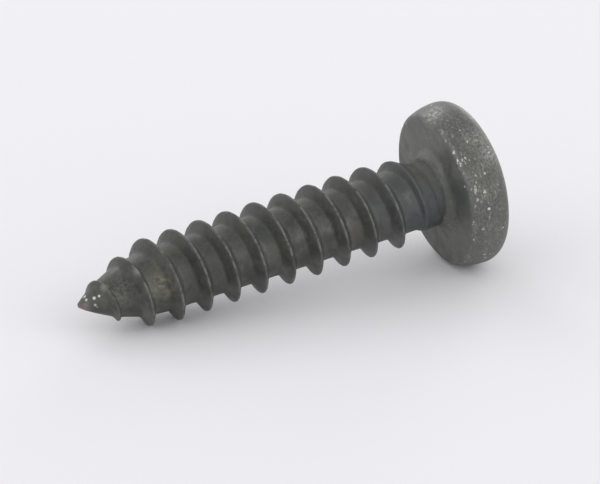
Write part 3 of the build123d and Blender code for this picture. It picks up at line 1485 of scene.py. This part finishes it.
@dataclass(frozen=True)
class Softbox:
    """A round lamp that faces the middle of the screw."""

    name: str
    azimuth: float
    elevation: float
    power: float
    distance: float = 0.60
    width: float = 0.22

    def build(self) -> None:
        """Hangs the lamp at its azimuth, elevation and distance."""
        lamp = bpy.data.lights.new(self.name, "AREA")
        lamp.shape, lamp.size, lamp.energy = "DISK", self.width, self.power
        away = heading(self.azimuth, self.elevation)
        thing = bpy.data.objects.new(self.name, lamp)
        thing.location = away * self.distance
        thing.rotation_euler = away.to_track_quat("Z", "Y").to_euler()
        bpy.context.scene.collection.objects.link(thing)


@dataclass
class Studio:
    """The pale floor, the soft light, the pale surroundings and the camera."""

    floor_colour: Colour = (0.85, 0.84, 0.87)
    floor_roughness: float = 0.9
    floor_gloss: float = 0.1
    floor_side: float = 4.0
    beside: float = 1.35  # strength of the surroundings, level with the screw
    above: float = 0.50  # and straight above it
    lamps: tuple[Softbox, ...] = (
        Softbox("back", azimuth=-180.0, elevation=35.0, power=0.285),
        Softbox("back_right", azimuth=135.0, elevation=12.0, power=0.50),
        Softbox("front_right", azimuth=45.0, elevation=35.0, power=0.17),
    )
    camera_azimuth: float = -27.4
    camera_elevation: float = 22.68
    camera_distance: float = 0.3363
    camera_target: Place = (0.000690, -0.000020, 0.002449)
    lens: float = 444.0  # millimetres, as the sensor's width is
    sensor_width: float = 36.0
    clipping: Limits = (0.01, 20.0)

    def floor(self) -> None:
        """A large pale sheet at the height that the screw rests on."""
        half = self.floor_side / 2.0
        mesh = bpy.data.meshes.new("floor")
        corners = [(-half, -half, 0.0), (half, -half, 0.0), (half, half, 0.0), (-half, half, 0.0)]
        mesh.from_pydata(corners, [], [(0, 1, 2, 3)])
        material = bpy.data.materials.new("floor_paper")
        material.use_nodes = True
        shader = material.node_tree.nodes["Principled BSDF"]
        shader.inputs["Base Color"].default_value = (*self.floor_colour, 1.0)
        shader.inputs["Roughness"].default_value = self.floor_roughness
        shader.inputs["Specular IOR Level"].default_value = self.floor_gloss
        mesh.materials.append(material)
        thing = bpy.data.objects.new("floor", mesh)
        bpy.context.scene.collection.objects.link(thing)

    def world(self) -> None:
        """Pale light from all round, as in a tent of white cloth, stronger from the sides.

        Its strength goes from the one beside to the one above with the square of the upward part
        of the direction.
        """
        world = bpy.data.worlds.new("pale_room")
        world.use_nodes = True
        graph = NodeGraph(world.node_tree)
        direction = graph.add("ShaderNodeSeparateXYZ")
        graph.link(graph.add("ShaderNodeTexCoord").outputs["Generated"], direction.inputs[0])
        rising = graph.times(direction.outputs["Z"], direction.outputs["Z"])
        strength = graph.math("ADD", graph.times(rising, self.above - self.beside), self.beside)
        background = world.node_tree.nodes["Background"]
        background.inputs["Color"].default_value = (1.0, 1.0, 1.0, 1.0)
        graph.link(strength, background.inputs["Strength"])
        bpy.context.scene.world = world

    def camera(self) -> None:
        """The camera at its angles and distance from the target, level with the horizon."""
        data = bpy.data.cameras.new("camera")
        data.lens, data.sensor_width = self.lens, self.sensor_width
        data.clip_start, data.clip_end = self.clipping
        back = heading(self.camera_azimuth, self.camera_elevation)
        right = Vector((-back.y, back.x, 0.0)).normalized()
        rotation = Matrix((right, back.cross(right), back)).transposed()
        place = Vector(self.camera_target) + back * self.camera_distance
        thing = bpy.data.objects.new("camera", data)
        thing.matrix_world = Matrix.Translation(place) @ rotation.to_4x4()
        bpy.context.scene.collection.objects.link(thing)
        bpy.context.scene.camera = thing

    def build(self) -> None:
        """Sets up the whole room."""
        self.floor()
        self.world()
        self.camera()
        for lamp in self.lamps:
            lamp.build()
        bpy.context.scene.view_settings.view_transform = "Standard"


@dataclass
class SelfTappingScrew:
    """The whole screw: its shank and its head, each with its own wear."""

    resting: Resting = field(default_factory=Resting)
    shank: Shank = field(default_factory=Shank)
    head: PanHead = field(default_factory=PanHead)

    def piece(self, name: str, surface: TurnedSurface, steel: PhosphatedSteel) -> None:
        """Makes one piece that stands for the solid screw, and reports it.

        Args:
            name: the piece's name.
            surface: its skin.
            steel: its finish.
        """
        mesh = surface.mesh(name, self.resting.matrix())
        mesh.materials.append(steel.material())
        thing = bpy.data.objects.new(name, mesh)
        bpy.context.scene.collection.objects.link(thing)
        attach(thing, "root")
        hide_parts(NODE)
        LOG.info("%s: %d faces", name, len(mesh.polygons))

    def build(self) -> None:
        """Makes the shank and the head."""
        self.piece("threaded_shank", self.shank.surface(), SHANK_STEEL)
        self.piece("pan_head", self.head.surface(), HEAD_STEEL)


def main() -> None:
    """Builds the screw and its room."""
    logging.basicConfig(level=logging.INFO, format="%(name)s: %(message)s")
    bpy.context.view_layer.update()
    SelfTappingScrew().build()
    Studio().build()


if __name__ == "__main__":
    main()
